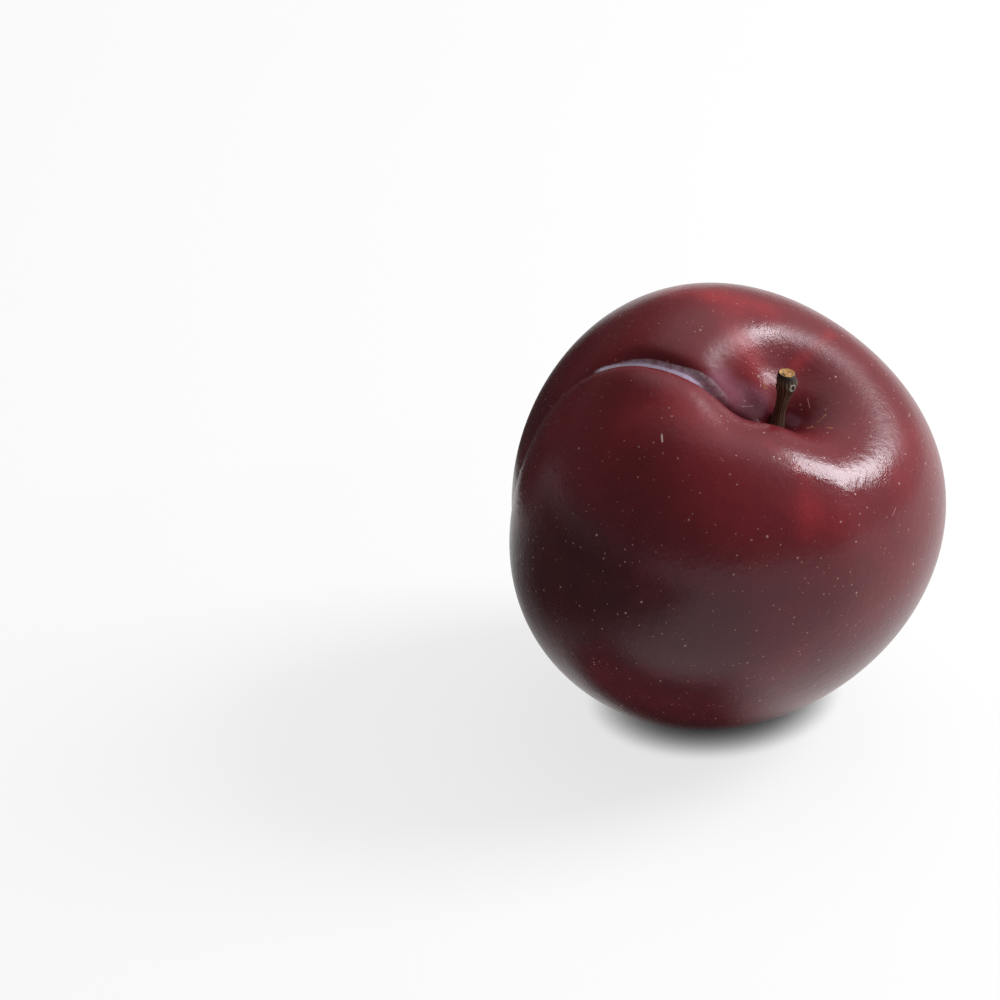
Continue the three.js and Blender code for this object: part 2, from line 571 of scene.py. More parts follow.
def ringed(
    name: str,
    rings: Array,
    ends: tuple[Array, Array],
    marks: dict[str, Array],
) -> bpy.types.Object:
    """Makes a closed, smooth mesh from rings of points and a point that closes each end.

    Each ring is joined to the next by four-sided faces, and each end point to its ring by a fan. The rings
    run from the stem's end away, and round the axis by the right hand, so that the faces point outwards.

    Args:
        name: The piece's name.
        rings: The rings' points in millimetres, by ring, by place round it, by coordinate.
        ends: The points before the first ring and after the last.
        marks: Numbers to keep at each point for the finish, by name, rings first and then the two ends.

    Returns:
        The piece, with its place in its mesh.
    """
    count, around = rings.shape[:2]
    ring = np.arange(count * around).reshape(count, around)
    after = np.roll(ring, -1, axis=1)
    first = np.full(around, ring.size)
    quads = np.stack([ring[:-1], ring[1:], after[1:], after[:-1]], axis=-1).reshape(-1, 4)
    fans = [np.stack([first, ring[0], after[0]], -1), np.stack([first + 1, after[-1], ring[-1]], -1)]
    fans = np.concatenate(fans)
    corners = np.concatenate([quads.ravel(), fans.ravel()])
    sides = np.concatenate([np.full(len(quads), 4), np.full(len(fans), 3)])
    points = np.concatenate([rings.reshape(-1, 3), np.stack(ends)]) * MM

    mesh = bpy.data.meshes.new(name)
    mesh.vertices.add(len(points))
    mesh.vertices.foreach_set("co", points.ravel())
    mesh.loops.add(len(corners))
    mesh.loops.foreach_set("vertex_index", corners)
    mesh.polygons.add(len(sides))
    mesh.polygons.foreach_set("loop_start", np.cumsum(sides) - sides)
    mesh.update(calc_edges=True)
    mesh.shade_smooth()
    for key, numbers in marks.items():
        mesh.attributes.new(key, "FLOAT", "POINT").data.foreach_set("value", numbers.astype(np.float32))
    piece = bpy.data.objects.new(name, mesh)
    bpy.context.collection.objects.link(piece)
    return piece


def smooth_line(points: Array, places: Array) -> Array:
    """Runs a smooth line through points, by the Catmull-Rom rule.

    Args:
        points: The points to pass through, one a row.
        places: Where to read the line, as a share of the way from the first point to the last.

    Returns:
        A point of the line for each place.
    """
    held = np.concatenate([2 * points[:1] - points[1:2], points, 2 * points[-1:] - points[-2:-1]])
    along = np.clip(places, 0, 1) * (len(points) - 1)
    start = np.minimum(along.astype(int), len(points) - 2)
    t = (along - start)[:, None]
    before, here, there, beyond = (held[start + k] for k in range(4))
    square = (2 * before - 5 * here + 4 * there - beyond) * t**2
    cube = (3 * (here - there) + beyond - before) * t**3
    return here + 0.5 * ((there - before) * t + square + cube)


class Mark(Enum):
    """A number that the fruit's mesh keeps at each of its points, for its finish to read."""

    RED = "red"
    DARK = "dark"
    HAZE = "haze"
    DULL = "dull"
    WORN = "worn"
    RUSSET = "russet"
    BLOOM = "bloom"


@dataclass(frozen=True)
class Stain:
    """A patch of the skin, as wide as given, along the line from one place to another.

    Attributes:
        start: Its first place, as degrees down from the stem and round from the groove's side.
        end: Its last place.
        width: Its reach on each side of that line, in millimetres.
        strength: How strong it is in its middle.
    """

    start: tuple[float, float]
    end: tuple[float, float]
    width: float
    strength: float

    def weight(self, form: FruitForm, points: Array) -> Array:
        """Gives its strength at points of the skin, a hump over their distance from its line."""
        ends = np.array([self.start, self.end]) * DEG
        first, last = form.point(ends[:, 0], ends[:, 1])
        line = last - first
        share = np.clip((points - first) @ line / max(line @ line, 1e-9), 0, 1)
        away = np.linalg.norm(points - first - share[..., None] * line, axis=-1)
        return self.strength * hump(away, self.width)


@dataclass(frozen=True)
class Hairline:
    """A hair-fine mark on the skin: a nick, a scratch or a crack.

    Attributes:
        start: Its first place, as degrees down from the stem and round from the groove's side.
        end: Its last place.
        width: Its reach on each side, in millimetres.
        colour: Its colour.
        strength: How strong it is.
    """

    start: tuple[float, float]
    end: tuple[float, float]
    width: float
    colour: Colour
    strength: float = 0.9

    def ends(self, form: FruitForm, lie: Lie) -> tuple[Array, Array]:
        """Gives its two end points on the fruit as it lies, in metres."""
        places = np.array([self.start, self.end]) * DEG
        first, last = lie.settle(form.point(places[:, 0], places[:, 1])) * MM
        return first, last


CORK: Colour = (0.60, 0.26, 0.11)
PALE: Colour = (0.80, 0.62, 0.58)
PINK: Colour = (0.60, 0.27, 0.28)

HAIRLINES = (
    Hairline((8.0, -168.0), (13.2, -176.0), 0.17, CORK),
    Hairline((10.3, -159.4), (13.0, -147.4), 0.11, CORK, 0.5),
    Hairline((40.2, 39.4), (40.7, 41.8), 0.22, PALE),
    Hairline((37.4, 157.7), (38.5, 154.3), 0.10, PINK, 0.7),
    Hairline((16.0, 1.7), (12.6, -6.5), 0.12, PALE, 0.55),
    Hairline((12.6, -109.7), (11.1, -123.4), 0.12, PINK, 0.7),
)

STAINS: dict[Mark, tuple[Stain, ...]] = {
    Mark.RED: (
        Stain((41.0, -48.0), (35.0, -61.0), 3.6, 0.72),
        Stain((54.0, -38.5), (44.0, -43.0), 3.6, 0.6),
        Stain((34.0, -40.0), (30.0, -36.0), 3.0, 0.35),
        Stain((24.0, -36.0), (16.0, -36.0), 2.6, 0.8),
        Stain((20.0, -80.0), (35.0, -97.0), 1.3, 0.7),
        Stain((20.0, 76.0), (22.0, 100.0), 1.0, 0.4),
        Stain((24.0, 106.0), (38.0, 110.0), 1.6, 0.25),
        Stain((36.0, -158.0), (33.0, 170.0), 4.5, 0.3),
        Stain((37.0, 23.0), (29.0, 41.0), 3.4, 0.3),
        Stain((50.0, 34.0), (52.0, 40.0), 5.0, 0.2),
        Stain((43.0, 27.0), (35.0, 30.0), 4.0, 0.35),
        Stain((57.0, -6.0), (50.0, -12.0), 4.0, 0.35),
        Stain((31.5, 110.0), (35.0, 124.0), 3.6, 0.5),
        Stain((37.0, 60.0), (40.0, 80.0), 6.5, 0.25),
        Stain((60.0, -120.0), (75.0, -135.0), 8.0, 0.4),
        Stain((70.0, -60.0), (95.0, -55.0), 9.0, 0.4),
        Stain((110.0, 150.0), (118.0, 175.0), 9.0, 0.3),
    ),
    Mark.DARK: (
        Stain((72.0, 60.0), (100.0, 50.0), 13.0, 0.8),
        Stain((62.0, 96.0), (75.0, 100.0), 9.0, 0.45),
        Stain((49.0, 129.0), (58.0, 116.0), 7.0, 0.3),
        Stain((16.0, -122.0), (12.0, -140.0), 4.5, 0.3),
    ),
    Mark.HAZE: (
        Stain((24.0, 0.0), (13.0, -4.0), 3.0, 0.6),
        Stain((16.0, -14.0), (12.0, -20.0), 2.0, 0.5),
        Stain((6.3, -112.0), (6.8, -130.0), 0.9, 1.0),
    ),
    Mark.DULL: (
        Stain((28.8, -5.0), (28.5, -34.0), 4.0, 1.0),
        Stain((29.5, -80.0), (27.5, -111.0), 4.0, 0.8),
        Stain((26.0, -125.0), (26.0, -170.0), 4.0, 0.6),
        Stain((29.0, 24.0), (26.0, 36.0), 3.0, 0.9),
    ),
    Mark.WORN: (
        Stain((26.5, -52.0), (26.8, -57.0), 1.8, 1.0),
        Stain((22.8, 104.0), (25.5, 138.0), 2.6, 0.9),
        Stain((25.5, 138.0), (28.0, 168.0), 3.0, 0.7),
    ),
    Mark.RUSSET: (
        Stain((16.4, -37.7), (12.2, -38.6), 0.9, 1.0),
        Stain((28.4, -13.7), (29.5, -15.0), 0.6, 0.9),
        Stain((16.0, -103.0), (15.0, -101.0), 0.6, 0.8),
        Stain((11.5, -152.0), (13.0, -148.0), 0.6, 0.8),
    ),
}


@dataclass(frozen=True)
class BloomLine:
    """The line of pale wax on the groove's far wall.

    Distances across are in millimetres from the groove's line, positive towards the near lobe, and angles
    are down from the stem. A pair or the end of a triple gives where a smooth ramp begins and is full.

    Attributes:
        reach: How far across the thin wax reaches at the line's low end.
        widens: How much farther it reaches higher up, and between which angles that grows.
        flares: How much farther again it reaches near the cavity, and between which angles.
        blur: The distances past its reach at which it begins, and within it at which it is full.
        thin: How strong the thin wax is.
        thins: How much weaker it is near the cavity, and between which angles.
        core: The distances across at which the thick wax begins and is full.
        core_below: The angles between which the thick wax grows.
        near_edge: The distances across at which all the wax begins and is full on the near side.
        low_end: The angles at which the line begins and is full at its low end.
        high_end: The angles at which it begins and is full at the cavity.
    """

    reach: float = 0.55
    widens: tuple[float, float, float] = (0.65, 60 * DEG, 42 * DEG)
    flares: tuple[float, float, float] = (0.9, 37 * DEG, 25 * DEG)
    blur: tuple[float, float] = (-0.25, 0.15)
    thin: float = 0.5
    thins: tuple[float, float, float] = (0.12, 34 * DEG, 22 * DEG)
    core: tuple[float, float] = (-0.8, -0.45)
    core_below: tuple[float, float] = (24 * DEG, 33 * DEG)
    near_edge: tuple[float, float] = (1.2, 0.2)
    low_end: tuple[float, float] = (65 * DEG, 58 * DEG)
    high_end: tuple[float, float] = (15 * DEG, 24 * DEG)

    def weight(self, theta: Array, across: Array) -> Array:
        """Gives how thick the wax is.

        Args:
            theta: Angles down from the stem.
            across: Distances from the groove's line, in millimetres.

        Returns:
            The wax at each point, from 0 to 1.
        """
        reach = self.reach
        for more, begins, full in (self.widens, self.flares):
            reach = reach + more * ramp(theta, begins, full)
        less, begins, full = self.thins
        thin = self.thin - less * ramp(theta, begins, full)
        thick = ramp(across, *self.core) * ramp(theta, *self.core_below)
        line = np.maximum(thick, thin * ramp(across + reach, *self.blur))
        line = line * ramp(across, *self.near_edge)
        return line * ramp(theta, *self.low_end) * ramp(theta, *self.high_end)


@dataclass(frozen=True)
class SkinFinish:
    """The fruit's waxy skin: its pigments, its bloom, its dots and its fine relief.

    Attributes:
        deep: The darkest, brown-purple pigment, also used for the painted shade low on the fruit.
        wine: The usual wine red.
        red: The brightest red, where the pigment is thin.
        bloom: The pale lilac wax.
        mauve: The thinner wax over the red.
        dot: The pale dots.
        russet: The corky specks and cracks.
    """

    deep: Colour = (0.040, 0.009, 0.011)
    wine: Colour = (0.170, 0.019, 0.026)
    red: Colour = (0.320, 0.026, 0.033)
    bloom: Colour = (0.92, 0.86, 1.0)
    mauve: Colour = (0.38, 0.17, 0.25)
    dot: Colour = (0.50, 0.30, 0.24)
    russet: Colour = (0.42, 0.20, 0.09)

    def material(self, form: FruitForm, lie: Lie) -> bpy.types.Material:
        """Builds the finish from the marks that the fruit's mesh holds and from its place on the skin.

        Args:
            form: The fruit's sizes, which the hairlines are placed by.
            lie: How the fruit lies.

        Returns:
            The finish.
        """
        shader = Shader.material("waxy_plum_skin")
        place = shader.place()
        marks = {mark: shader.attribute(mark.value) for mark in Mark}
        mottle = shader.noise(place, 3.5 * MM, 4.0, 0.6, 0.2)
        grain = shader.noise(place, 0.45 * MM, 3.0, 0.6)
        ragged = shader.noise(place, 0.9 * MM, 5.0, 0.7, 0.5)
        fine_dots = self._dots(shader, place, 1.1 * MM, 0.06, 0.10)
        dots = fine_dots.larger(self._dots(shader, place, 2.3 * MM, 0.05, 0.07))

        colour = self._pigment(shader, place, marks, mottle)
        colour = shader.mix(dots * 0.85, colour, self.dot)
        colour = shader.mix(self._specks(shader, place, marks[Mark.RUSSET]), colour, self.russet)
        haze = (marks[Mark.HAZE] * (0.3 + mottle * 1.2)).step(0.08, 0.75)
        colour = shader.mix(haze * 0.42, colour, self.mauve)
        wax = (marks[Mark.BLOOM] * (0.4 + ragged * 1.2)).step(0.2, 0.95)
        colour = shader.mix(wax * 0.95, colour, self.bloom)
        for line in HAIRLINES:
            start, end = line.ends(form, lie)
            away = shader.distance_from_line(place, start, end)
            colour = shader.mix(away.step(line.width * MM, 0.0) * line.strength, colour, line.colour)

        gloss = 0.17 + mottle * 0.10 + grain * 0.08 + wax * 0.40
        surface = {
            "Base Color": colour,
            "Roughness": gloss + marks[Mark.DULL] * 0.14 - marks[Mark.WORN] * 0.14,
            "IOR": 1.4,
            "Specular Tint": (0.96, 0.93, 1.0, 1.0),
        }
        relief = self._relief(shader, place, grain, dots, marks[Mark.WORN])
        return shader.finish(surface, relief, 0.75, 0.07 * MM)

    def _pigment(self, shader: Shader, place: Value, marks: dict[Mark, Value], mottle: Value) -> Value:
        """Mixes the skin's reds: slow clouds from dark to wine, and the bright red where it is thin.

        Args:
            shader: The skin's shader.
            place: Where the point lies.
            marks: The numbers that the mesh keeps.
            mottle: The noise that breaks the reds up.

        Returns:
            The colour of the skin without its wax, dots and marks.
        """
        clouds = shader.noise(place, 16 * MM, 3.0, 0.5, 0.4)
        # The dark mark pulls the colour towards deep, and it includes the painted shade low on the fruit.
        pigment = (0.35 + clouds * 0.5 + mottle * 0.22 - marks[Mark.DARK] * 0.6).step(0.0, 0.9)
        redness = (marks[Mark.RED] * (0.35 + mottle * 1.1)).step(-0.1, 1.15)
        return shader.mix(redness, shader.mix(pigment, self.deep, self.wine), self.red)

    def _dots(self, shader: Shader, place: Value, size: float, least: float, spread: float) -> Value:
        """Scatters tiny pale dots: cells of this size whose heart lies close enough under the skin.

        Args:
            shader: The skin's shader.
            place: Where the point lies.
            size: The size of the cells, in metres.
            least: The smallest dot's radius, as a share of a cell.
            spread: How much larger the largest dot is.

        Returns:
            How much of a dot each point holds.
        """
        inputs = {"Vector": place, "Scale": 1 / size, "Randomness": 1.0}
        cell = shader.node("ShaderNodeTexVoronoi", {"feature": "F1"}, inputs, "Distance")
        chance = shader.node("ShaderNodeSeparateColor", None, {"Color": cell.sibling("Color")})
        reach = chance * spread + least
        return (1 - cell / reach).step(0.0, 0.6) * (chance * 0.7 + 0.3)

    def _specks(self, shader: Shader, place: Value, patch: Value) -> Value:
        """Scatters corky flecks over the patches near the stem."""
        flecks = shader.noise(shader.scaled(place, (1.0, 1.0, 1.8)), 0.7 * MM, 4.0, 0.65, 0.5)
        return 0.8 * (flecks * (0.3 + patch * 0.7)).step(0.5, 0.58)

    def _relief(self, shader: Shader, place: Value, grain: Value, dots: Value, worn: Value) -> Value:
        """Adds the fine relief: an orange-peel grain, scratches where it is worn, and the dots' bumps."""
        scratches = shader.noise(shader.scaled(place, (1.0, 1.0, 0.2)), 0.28 * MM, 2.0, 0.6)
        peel = shader.noise(place, 1.1 * MM, 2.0, 0.5)
        patchy = shader.noise(place, 5 * MM, 2.0, 0.5).step(0.4, 0.62)
        return grain * 0.2 + scratches * (0.22 + patchy * 0.45 + worn * 0.2) + peel * 0.8 + dots * 0.4


@dataclass
class Fruit:
    """The fruit: its skin as one closed surface, with the marks that its finish reads.

    Attributes:
        form: Its sizes.
        lie: How it lies.
        finish: Its skin's colours.
        bloom: The line of wax in its groove.
        darkens: How much darker it grows down from the stem, and between which angles, step by step, partly
            deeper pigment and partly painted shade on the lower side.
        rings: How many rings of points it has from stem to blossom end.
        around: How many points each ring has.
        groove_gather: How far a ring's points are drawn towards the groove.
        stem_gather: The power by which the rings are drawn towards the stem.
    """

    form: FruitForm = field(default_factory=FruitForm)
    lie: Lie = field(default_factory=Lie)
    finish: SkinFinish = field(default_factory=SkinFinish)
    bloom: BloomLine = field(default_factory=BloomLine)
    # Darker towards the blossom end: partly deeper pigment, partly painted shade where the lower side and
    # underside face the table.
    darkens: tuple[tuple[float, float, float], ...] = (
        (0.5, 55 * DEG, 92 * DEG),
        (0.5, 98 * DEG, 120 * DEG),
    )
    rings: int = 258
    around: int = 360
    groove_gather: float = 0.6
    stem_gather: float = 1.2

    def angles(self) -> tuple[Array, Array]:
        """Gives every ring point's two angles, drawn closer together at the stem and along the groove.

        With u from 0 to 1 down the fruit and v round it, the angle from the stem is pi times u to a
        power, and the angle round it is v less a share of sin v, from the groove's line.
        """
        down = np.linspace(0, 1, self.rings + 2)[1:-1, None]
        theta = np.pi * down**self.stem_gather
        turn = np.linspace(-np.pi, np.pi, self.around, endpoint=False)[None, :]
        phi = turn - self.groove_gather * np.sin(turn) + self.form.groove_turn(theta)
        return theta + 0 * turn, phi

    def marks(self, theta: Array, phi: Array, points: Array) -> dict[str, Array]:
        """Works out what the finish reads at each point.

        Args:
            theta: Angles down from the stem.
            phi: Angles round the axis.
            points: The points in those directions, in millimetres.

        Returns:
            The strength of each mark at each point, by the mark's name.
        """
        marks = {
            mark: sum(stain.weight(self.form, points) for stain in stains)
            for mark, stains in STAINS.items()
        }
        marks[Mark.BLOOM] = self.bloom.weight(theta, self.form.across(theta, phi))
        for more, begins, full in self.darkens:
            marks[Mark.DARK] = marks[Mark.DARK] + more * ramp(theta, begins, full)
        return {mark.value: np.clip(weights, 0, 1) for mark, weights in marks.items()}

    def build(self) -> bpy.types.Object:
        """Builds the skin, dresses it, and puts it in the place of the solid fruit."""
        theta, phi = self.angles()
        points = self.form.point(theta, phi)
        poles = self.form.point(np.array([0.0, np.pi]), np.zeros(2))
        all_theta = np.append(theta.ravel(), [0.0, np.pi])
        all_phi = np.append(phi.ravel(), [0.0, 0.0])
        all_points = np.concatenate([points.reshape(-1, 3), poles])
        marks = self.marks(all_theta, all_phi, all_points)
        first, last = self.lie.settle(poles)
        piece = ringed("plum_skin", self.lie.settle(points), (first, last), marks)
        piece.data.materials.append(self.finish.material(self.form, self.lie))
        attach(piece, "root")
        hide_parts("fruit")
        LOG.info("plum_skin: %d points", len(all_points))
        return piece


@dataclass(frozen=True)
class BarkFinish:
    """The stem's dry bark, with the tan scar on its end and the grey ring of its bud.

    Attributes:
        dark: The bark in the furrows.
        brown: The bark on the ribs.
        tan: The scar.
        blush: The pinkish part of the scar.
        grey: The bud's ring.
    """

    dark: Colour = (0.034, 0.021, 0.015)
    brown: Colour = (0.165, 0.095, 0.055)
    tan: Colour = (0.50, 0.26, 0.075)
    blush: Colour = (0.72, 0.40, 0.30)
    grey: Colour = (0.34, 0.34, 0.30)

    def material(self) -> bpy.types.Material:
        """Builds the finish from the marks that the stem's mesh holds."""
        shader = Shader.material("stem_bark")
        place = shader.place()
        along = shader.attribute("fibre")
        scar = shader.attribute("scar")
        ring = shader.attribute("ring")
        crumble = shader.noise(place, 0.5 * MM, 4.0, 0.65)
        fine = shader.noise(place, 0.18 * MM, 3.0, 0.6)
        colour = shader.mix((along * 0.7 + crumble * 0.6).step(0.35, 0.95), self.dark, self.brown)
        pits = shader.noise(place, 0.35 * MM, 3.0, 0.6)
        end = shader.mix(shader.attribute("blush").step(0.3, 0.8), self.tan, self.blush)
        colour = shader.mix((scar * (0.1 + pits * 1.5)).step(0.48, 0.85), colour, end)
        colour = shader.mix((ring * (0.5 + fine)).step(0.35, 0.9), colour, self.grey)
        surface = {"Base Color": colour, "Roughness": 0.68 - ring * 0.38, "IOR": 1.45}
        return shader.finish(surface, crumble * 0.6 + fine * 0.4, 0.6, 0.08 * MM)


@dataclass
class Stem:
    """The stem: an outline turned round a bowed line, ribbed, with a bud nub and a hollowed scar.

    Attributes:
        lie: How the fruit that it stands in lies.
        form: The fruit's sizes.
        finish: Its bark's colours.
        outline: Its radius and height over the cavity's floor, from the foot to the scar, in millimetres.
        lean: The angle of its line from the fruit's axis.
        lean_towards: The angle round the fruit's axis that it leans to.
        rings: How many rings of points it has.
        around: How many points each ring has.
        ribs: How many low ridges run up it, each as high as rib_depth times the radius.
        fibres: How many fine fibres run round it, each as high as fibre_depth times the radius.
        fibre_twist: How far the fibres turn for each millimetre of height, in radians.
        bow: How far its line bows out at bow_middle, towards bow_turn, and over bow_length either side.
        nub_height: How far the bud's nub stands out, as a share of the radius.
        nub_turn: The nub's place round the stem.
        nub_width: Its reach round the stem, in radians.
        nub_at: Its height up the stem.
        nub_length: Its reach up and down.
        bud_radius: The radius of the ring on the nub.
        bud_ring: That ring's width.
        bud_hollow: The reach of the hollow in its middle.
        bud_relief: How far the ring stands out.
        knot_depth: How knotty the swollen end is, as a share of the radius.
        knot_length: How far the knots reach from the nub.
        scar_rim: How far below the scar's height its colour starts.
        pit_away: How far the scar's pit and blush lie from its middle.
        pit_turn: The pit's place round the middle.
        blush_turn: The blush's place round it.
        pit_reach: The reach of both.
        pit_depth: How deep the pit is.
    """

    lie: Lie = field(default_factory=Lie)
    form: FruitForm = field(default_factory=FruitForm)
    finish: BarkFinish = field(default_factory=BarkFinish)
    outline: tuple[tuple[float, float], ...] = (
        (0.0, -1.5),
        (1.05, -1.5),
        (1.35, -0.2),
        (1.3, 1.0),
        (1.12, 2.8),
        (0.86, 5.0),
        (0.92, 6.8),
        (1.12, 8.2),
        (1.36, 9.3),
        (1.45, 10.3),
        (1.42, 11.2),
        (1.22, 11.8),
        (0.7, 11.6),
        (0.0, 11.45),
    )
    lean: float = 26.0 * DEG
    lean_towards: float = -47.2 * DEG
    rings: int = 150
    around: int = 84
    ribs: int = 5
    rib_depth: float = 0.06
    fibres: int = 17
    fibre_depth: float = 0.03
    fibre_twist: float = 0.05
    bow: float = 0.3
    bow_turn: float = -120 * DEG
    bow_middle: float = 8.6
    bow_length: float = 3.0
    nub_height: float = 0.4
    nub_turn: float = 178 * DEG
    nub_width: float = 0.85
    nub_at: float = 10.1
    nub_length: float = 1.1
    bud_radius: float = 0.5
    bud_ring: float = 0.2
    bud_hollow: float = 0.3
    bud_relief: float = 0.12
    knot_depth: float = 0.06
    knot_length: float = 1.6
    scar_rim: float = 0.25
    pit_away: float = 0.55
    pit_turn: float = 80 * DEG
    blush_turn: float = -110 * DEG
    pit_reach: float = 0.3
    pit_depth: float = 0.25

    def build(self) -> bpy.types.Object:
        """Builds the stem, dresses it, and puts it in the place of the solid stem."""
        line = smooth_line(np.array(self.outline), np.linspace(1, 0, self.rings + 2))
        radius = np.maximum(line[1:-1, :1], 0.02)
        height = line[1:-1, 1:]
        turn = np.linspace(-np.pi, np.pi, self.around, endpoint=False)[None, :]
        shaft = ramp(height, -0.5, 1.0) * ramp(height, self.top + 0.2, self.top - 1.0)
        curl = 1.4 * np.sin(0.9 * height + turn)
        fibre = 0.5 + 0.5 * np.sin(self.fibres * (turn + self.fibre_twist * height) + curl)
        bud = np.hypot(wrapped(turn - self.nub_turn) * radius * (1 + self.nub_height), height - self.nub_at)
        ring = hump(bud - self.bud_radius, self.bud_ring)
        thick = radius * self.swell(height, turn, shaft, fibre)
        thick = thick + self.bud_relief * (ring - hump(bud, self.bud_hollow))

        own = np.stack([thick * np.cos(turn), thick * np.sin(turn), height + 0 * turn], axis=-1)
        scar = ramp(height, self.top - self.scar_rim, self.top) * ramp(radius, 1.33, 1.15)
        pit = self.scar_spot(own, self.pit_turn)
        blush = self.scar_spot(own, self.blush_turn)
        own[..., 2] = own[..., 2] - self.pit_depth * pit * scar
        bow = self.bow * hump(height - self.bow_middle, self.bow_length) * (height > 0)
        own[..., :2] = own[..., :2] + bow[..., None] * (np.cos(self.bow_turn), np.sin(self.bow_turn))
        ends = np.array([[0, 0, self.top], [0, 0, self.outline[0][1]]])
        ends[0, :2] = own[0, :, :2].mean(axis=0)
        marks = {
            "fibre": np.append((fibre * shaft).ravel(), [0, 0]),
            "scar": np.append((scar * (1 - 0.9 * pit)).ravel(), [1, 0]),
            "blush": np.append((scar * blush).ravel(), [0, 0]),
            "ring": np.append(ring.ravel(), [0, 0]),
        }
        piece = ringed("plum_stem", self.placed(own), tuple(self.placed(ends)), marks)
        piece.data.materials.append(self.finish.material())
        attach(piece, "root")
        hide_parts("stem")
        LOG.info("plum_stem: %d points", own.shape[0] * own.shape[1])
        return piece

    @property
    def top(self) -> float:
        """The height of the scar's middle."""
        return self.outline[-1][1]

    def swell(self, height: Array, turn: Array, shaft: Array, fibre: Array) -> Array:
        """Gives how much thicker than its outline the stem is, for its ribs, fibres, nub and knots.

        Args:
            height: Heights over the cavity's floor, in millimetres.
            turn: Angles round the stem.
            shaft: How much of the bark's relief there is at each height.
            fibre: The fibres' waves, from 0 to 1.

        Returns:
            The factor on the outline's radius.
        """
        up = height - self.nub_at
        nub = hump(wrapped(turn - self.nub_turn), self.nub_width) * hump(up, self.nub_length)
        swell = 1 + self.rib_depth * shaft * np.cos(self.ribs * turn) + self.nub_height * nub
        swell = swell + self.fibre_depth * shaft * (fibre - 0.5) * 2
        knots = np.sin(3 * turn + 2.6 * height) * hump(up, self.knot_length)
        return swell + self.knot_depth * knots

    def scar_spot(self, points: Array, turn: float) -> Array:
        """Gives how near points of the scar lie to a spot off its middle.

        Args:
            points: Points about the stem's own axis, in millimetres.
            turn: The spot's place round the axis.

        Returns:
            A hump over the distance from the spot.
        """
        spot = self.pit_away * np.array([np.cos(turn), np.sin(turn)])
        return hump(np.linalg.norm(points[..., :2] - spot, axis=-1), self.pit_reach)

    def placed(self, points: Array) -> Array:
        """Stands points of the stem on the cavity's floor and leans them over with the fruit."""
        floor = self.lie.settle(self.form.point(np.zeros(1), np.zeros(1)))[0]
        own = lean_matrix(self.lean_towards, self.lean)
        return points @ (self.lie.matrix @ own).T + floor


@dataclass(frozen=True)
class SoftLight:
    """A soft light that faces the plum.

    Attributes:
        name: Its name.
        compass: The direction that it stands in, from away towards the viewer's right.
        height: Its angle over the table.
        distance: How far it stands from the plum, in metres.
        size: Its width and height, in metres.
        brightness: The brightness of its face, where the white table is about 1.
    """

    name: str
    compass: float
    height: float
    distance: float
    size: tuple[float, float]
    brightness: float

    def build(self, target: Vector) -> bpy.types.Object:
        """Builds the light so that it faces the target."""
        data = bpy.data.lights.new(self.name, "AREA")
        data.shape = "RECTANGLE"
        data.size, data.size_y = self.size
        data.energy = self.brightness * data.size * data.size_y * np.pi
        light = bpy.data.objects.new(self.name, data)
        way = compass_way(self.compass, self.height)
        light.location = target + way * self.distance
        light.rotation_euler = way.to_track_quat("Z", "Y").to_euler()
        light.visible_camera = False
        bpy.context.collection.objects.link(light)
        LOG.info("light %s", self.name)
        return light


@dataclass(frozen=True)
class Flag:
    """A dark card that stands out of view and keeps the white table's light off one side.

    Attributes:
        name: Its name.
        corners: Its four corners in order, in metres.
        grey: How dark it is.
        soft: The share of its width over which each edge fades out.
        steps: How many squares it is divided into each way.
    """

    name: str
    corners: tuple[tuple[float, float, float], ...]
    grey: float = 0.02
    soft: float = 0.25
    steps: int = 12

    def build(self) -> bpy.types.Object:
        """Builds the card, which only reflections show."""
        share = np.linspace(0, 1, self.steps + 1)
        u, v = np.meshgrid(share, share)
        weights = np.stack([(1 - u) * (1 - v), u * (1 - v), u * v, (1 - u) * v], axis=-1)
        points = (weights @ np.array(self.corners)).reshape(-1, 3)
        index = np.arange(u.size).reshape(u.shape)
        faces = np.stack([index[:-1, :-1], index[:-1, 1:], index[1:, 1:], index[1:, :-1]], axis=-1)
        inner = np.minimum(np.minimum(u, 1 - u), np.minimum(v, 1 - v))
        mesh = bpy.data.meshes.new(self.name)
        mesh.from_pydata(points.tolist(), [], faces.reshape(-1, 4).tolist())
        marks = mesh.attributes.new("inner", "FLOAT", "POINT")
        marks.data.foreach_set("value", inner.ravel().astype(np.float32))
        card = bpy.data.objects.new(self.name, mesh)
        shader = Shader.material(self.name)
        alpha = shader.attribute("inner").step(0.0, self.soft)
        surface = {"Base Color": (self.grey,) * 3 + (1.0,), "Roughness": 0.9, "Alpha": alpha}
        card.data.materials.append(shader.finish(surface))
        card.visible_camera = False
        card.visible_shadow = False
        card.visible_diffuse = False
        bpy.context.collection.objects.link(card)
        LOG.info("card %s", self.name)
        return card


@dataclass(frozen=True)
class Glow:
    """A broad brightening of the room round one direction.

    Attributes:
        compass: The direction's compass angle, from away towards the viewer's right.
        height: The direction's angle over the table.
        edge: The cosine of the angle from it at which the glow ends.
        core: The cosine of the angle from it within which it is full.
        brightness: How bright it is.
    """

    compass: float
    height: float
    edge: float
    core: float
    brightness: float


def compass_way(compass: float, height: float) -> Vector:
    """Gives the unit vector at a compass angle from away towards the right, and an angle over the table."""
    flat = np.cos(height)
    return Vector((np.sin(compass) * flat, np.cos(compass) * flat, np.sin(height)))


